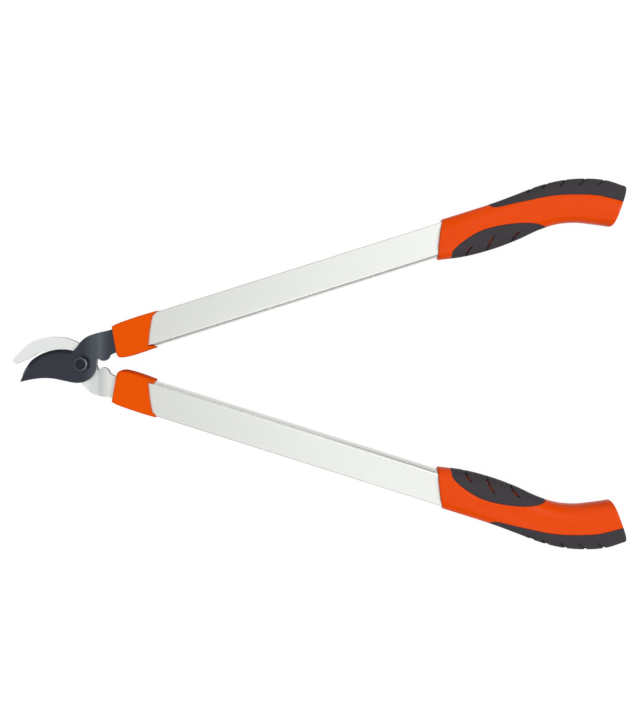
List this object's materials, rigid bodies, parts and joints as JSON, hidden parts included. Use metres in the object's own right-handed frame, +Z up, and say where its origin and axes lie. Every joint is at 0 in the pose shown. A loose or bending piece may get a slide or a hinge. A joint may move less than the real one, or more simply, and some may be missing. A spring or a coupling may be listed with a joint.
{
  "type": "bypass lopper",
  "caption": "Long-handled bypass lopper lying flat: curved dark blade over a bright hook, hex pivot bolt, flat aluminium tube handles, orange collars and bent grips with dark soft inserts.",
  "frame": {"origin": "pivot axis at the bolt's end face, which lies on the plane that the tool rests on", "axes": "+X along the midline between the handles, from the blades to the grips; +Y towards the cutting blade's handle; +Z up along the pivot, from the hook to the cutting blade"},
  "size_m": [0.7326, 0.4428, 0.032],
  "materials": {
    "coated_steel": "low-friction coating, satin",
    "bare_steel": "nickel plated, satin",
    "zinc_steel": "zinc plated",
    "satin_aluminium": "satin anodised",
    "orange_plastic": "moulded, semi-matte",
    "soft_grey": "soft, matte",
    "nylon": "moulded",
    "bronze": "oiled sintered bearing"
  },
  "bodies": {
    "hook_lever": {"counter_blade": "bare_steel", "pivot_bolt": "coated_steel", "pivot_bush": "bronze", "pivot_washer": "zinc_steel", "pivot_nut": "zinc_steel", "hook_tube": "satin_aluminium", "hook_tang_insert": "nylon", "hook_rivet_front": "zinc_steel", "hook_rivet_rear": "zinc_steel", "hook_collar": "orange_plastic", "hook_grip": "orange_plastic", "hook_grip_strip": "soft_grey", "hook_grip_pad": "soft_grey"},
    "blade_lever": {"cutting_blade": "coated_steel", "blade_tube": "satin_aluminium", "blade_tang_insert": "nylon", "blade_rivet_front": "zinc_steel", "blade_rivet_rear": "zinc_steel", "blade_collar": "orange_plastic", "blade_grip": "orange_plastic", "blade_grip_strip": "soft_grey", "blade_grip_pad": "soft_grey"}
  },
  "joints": [
    {"name": "pivot", "type": "hinge", "parent": "hook_lever", "child": "blade_lever", "pos_m": [0, 0, 0.016], "axis": [0, 0, 1], "range_deg": [-17, 45]}
  ]
}
